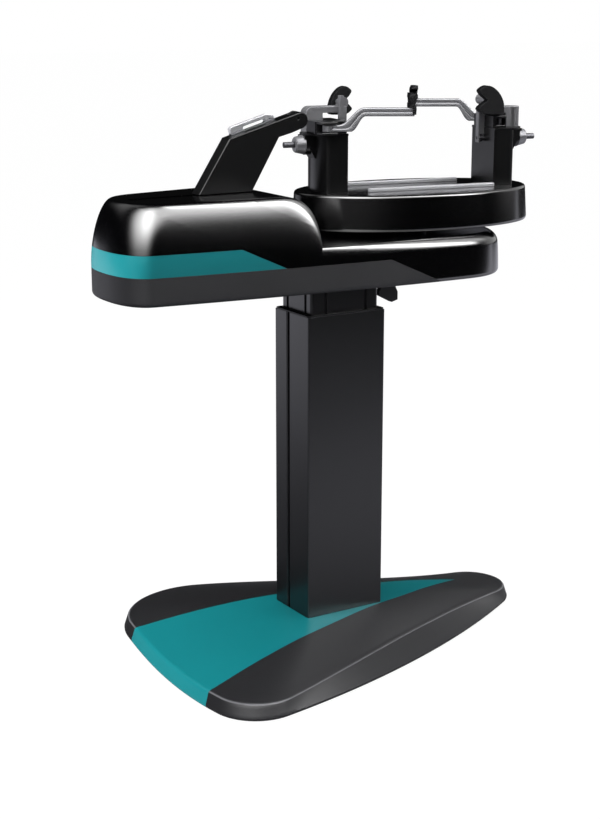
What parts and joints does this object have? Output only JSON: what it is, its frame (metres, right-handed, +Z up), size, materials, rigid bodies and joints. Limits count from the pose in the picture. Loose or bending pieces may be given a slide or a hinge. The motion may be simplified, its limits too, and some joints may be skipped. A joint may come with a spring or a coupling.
{
  "type": "racket stringing machine",
  "caption": "Floor-standing racket stringing machine: wedge base, lifting column, boat-shaped housing with a sliding tension head, and a turntable with two towers, side arms and pads.",
  "frame": {"origin": "on the floor, under the middle of the machine's length and width", "axes": "+Z up, +X along the housing from the tension head towards the turntable, -Y towards the operator"},
  "size_m": [0.9908, 0.6636, 1.156],
  "materials": {
    "black_gloss": "gloss",
    "black_satin": "satin",
    "grey_matt": "matt",
    "teal_paint": "satin",
    "black_anodised": "anodised satin",
    "head_paint": "satin",
    "silver_alloy": "satin",
    "bright_steel": "ground",
    "plain_steel": "plain",
    "black_rubber": "matt"
  },
  "bodies": {
    "base": {"base_plate": "plain_steel", "base_cover": "black_satin", "base_stripe": "teal_paint", "foot_pad_rear_front": "black_rubber", "foot_pad_rear_back": "black_rubber", "foot_pad_tip_front": "black_rubber", "foot_pad_tip_back": "black_rubber", "column_flange": "plain_steel", "outer_column": "black_anodised", "column_collar": "black_satin", "lift_motor": "plain_steel"},
    "lift_screw_body": {"lift_screw": "bright_steel"},
    "housing": {"inner_column": "black_anodised", "lift_nut": "plain_steel", "chassis_plate": "plain_steel", "lower_tray": "grey_matt", "teal_band": "teal_paint", "upper_cover": "black_gloss", "brake_bracket": "plain_steel", "power_inlet": "black_satin", "guide_rail_front": "bright_steel", "guide_rail_back": "bright_steel", "rail_block_left": "plain_steel", "rail_block_right": "plain_steel", "drive_motor": "plain_steel", "spindle_housing": "plain_steel", "spindle_bearing_lower": "bright_steel", "spindle_bearing_upper": "bright_steel"},
    "drive_screw_body": {"drive_screw": "bright_steel"},
    "tension_head": {"head_tower": "head_paint", "head_carriage": "plain_steel", "roller_axle": "bright_steel", "gripper_lower": "plain_steel"},
    "gripper_jaw": {"gripper_upper": "silver_alloy"},
    "nose_roller_body": {"nose_roller": "black_rubber"},
    "turntable": {"spindle": "bright_steel", "turntable_cover": "black_gloss", "turntable_frame": "plain_steel", "clamp_rail_near": "silver_alloy", "clamp_rail_far": "silver_alloy", "tower_post_left": "black_satin", "tower_post_right": "black_satin"},
    "support_right": {"support_head_right": "black_satin", "frame_bracket_right": "silver_alloy", "frame_pad_right": "black_rubber", "adjust_screw_right": "bright_steel", "clamp_bolt_right": "bright_steel"},
    "support_left": {"support_head_left": "black_satin", "frame_bracket_left": "silver_alloy", "frame_pad_left": "black_rubber", "adjust_screw_left": "bright_steel", "clamp_bolt_left": "bright_steel"},
    "knob_right": {"adjust_knob_right": "silver_alloy"},
    "knob_left": {"adjust_knob_left": "silver_alloy"},
    "arm_far": {"side_arm_far": "silver_alloy"},
    "arm_near": {"side_arm_near": "silver_alloy"},
    "claw_far": {"side_claw_far": "black_rubber"},
    "claw_near": {"side_claw_near": "black_rubber"},
    "brake_lever_body": {"brake_lever": "black_satin"},
    "power_switch_body": {"power_switch": "black_satin"}
  },
  "joints": [
    {"name": "column_lift", "type": "slide", "parent": "base", "child": "housing", "axis": [0, 0, 1], "range_m": [-0.05, 0.2]},
    {"name": "lift_screw_turn", "type": "hinge", "parent": "base", "child": "lift_screw_body", "pos_m": [0.01364, -0.00672, 0.3], "axis": [0, 0, 1], "range_deg": [-1800, 7200]},
    {"name": "turntable_spin", "type": "hinge", "parent": "housing", "child": "turntable", "pos_m": [0.21364, -0.00672, 0.9], "axis": [0, 0, 1], "continuous": true},
    {"name": "support_right_slide", "type": "slide", "parent": "turntable", "child": "support_right", "axis": [0.9848, -0.1736, 0], "range_m": [-0.02, 0]},
    {"name": "support_left_slide", "type": "slide", "parent": "turntable", "child": "support_left", "axis": [-0.9848, 0.1736, 0], "range_m": [-0.02, 0]},
    {"name": "knob_right_turn", "type": "hinge", "parent": "turntable", "child": "knob_right", "pos_m": [0.45492, -0.04926, 1.045], "axis": [0.9848, -0.1736, 0], "range_deg": [-1440, 0]},
    {"name": "knob_left_turn", "type": "hinge", "parent": "turntable", "child": "knob_left", "pos_m": [-0.02763, 0.03582, 1.045], "axis": [-0.9848, 0.1736, 0], "range_deg": [-1440, 0]},
    {"name": "arm_far_swing", "type": "hinge", "parent": "support_right", "child": "arm_far", "pos_m": [0.43476, 0.01582, 1.08], "axis": [0, 0, 1], "range_deg": [-8, 8]},
    {"name": "arm_near_swing", "type": "hinge", "parent": "support_left", "child": "arm_near", "pos_m": [-0.00747, -0.02926, 1.08], "axis": [0, 0, 1], "range_deg": [-8, 8]},
    {"name": "claw_far_turn", "type": "hinge", "parent": "arm_far", "child": "claw_far", "pos_m": [0.29337, 0.1028, 1.12], "axis": [0, 0, 1], "range_deg": [-20, 20]},
    {"name": "claw_near_turn", "type": "hinge", "parent": "arm_near", "child": "claw_near", "pos_m": [0.13392, -0.11624, 1.12], "axis": [0, 0, 1], "range_deg": [-20, 20]},
    {"name": "tension_slide", "type": "slide", "parent": "housing", "child": "tension_head", "axis": [-1, 0, 0], "range_m": [0, 0.13]},
    {"name": "drive_screw_turn", "type": "hinge", "parent": "housing", "child": "drive_screw_body", "pos_m": [-0.28636, -0.00672, 0.825], "axis": [1, 0, 0], "range_deg": [0, 4680]},
    {"name": "gripper_jaw_turn", "type": "hinge", "parent": "tension_head", "child": "gripper_jaw", "pos_m": [-0.21433, -0.00672, 1.07677], "axis": [0, -1, 0], "range_deg": [0, 20]},
    {"name": "nose_roller_spin", "type": "hinge", "parent": "tension_head", "child": "nose_roller_body", "pos_m": [-0.07236, -0.00672, 1.1024], "axis": [0, 1, 0], "continuous": true},
    {"name": "brake_lever_turn", "type": "hinge", "parent": "housing", "child": "brake_lever_body", "pos_m": [0.15564, -0.00672, 0.762], "axis": [0, 1, 0], "range_deg": [-25, 25]},
    {"name": "power_switch_rock", "type": "hinge", "parent": "housing", "child": "power_switch_body", "pos_m": [-0.13236, 0.09728, 0.7752], "axis": [0, -1, 0], "range_deg": [0, 11]}
  ],
  "couplings": [
    {"joint": "lift_screw_turn", "follows": "column_lift", "rad_per_m": 628.3},
    {"joint": "drive_screw_turn", "follows": "tension_slide", "rad_per_m": 628.3},
    {"joint": "knob_right_turn", "follows": "support_right_slide", "rad_per_m": 1256.6},
    {"joint": "knob_left_turn", "follows": "support_left_slide", "rad_per_m": 1256.6}
  ]
}
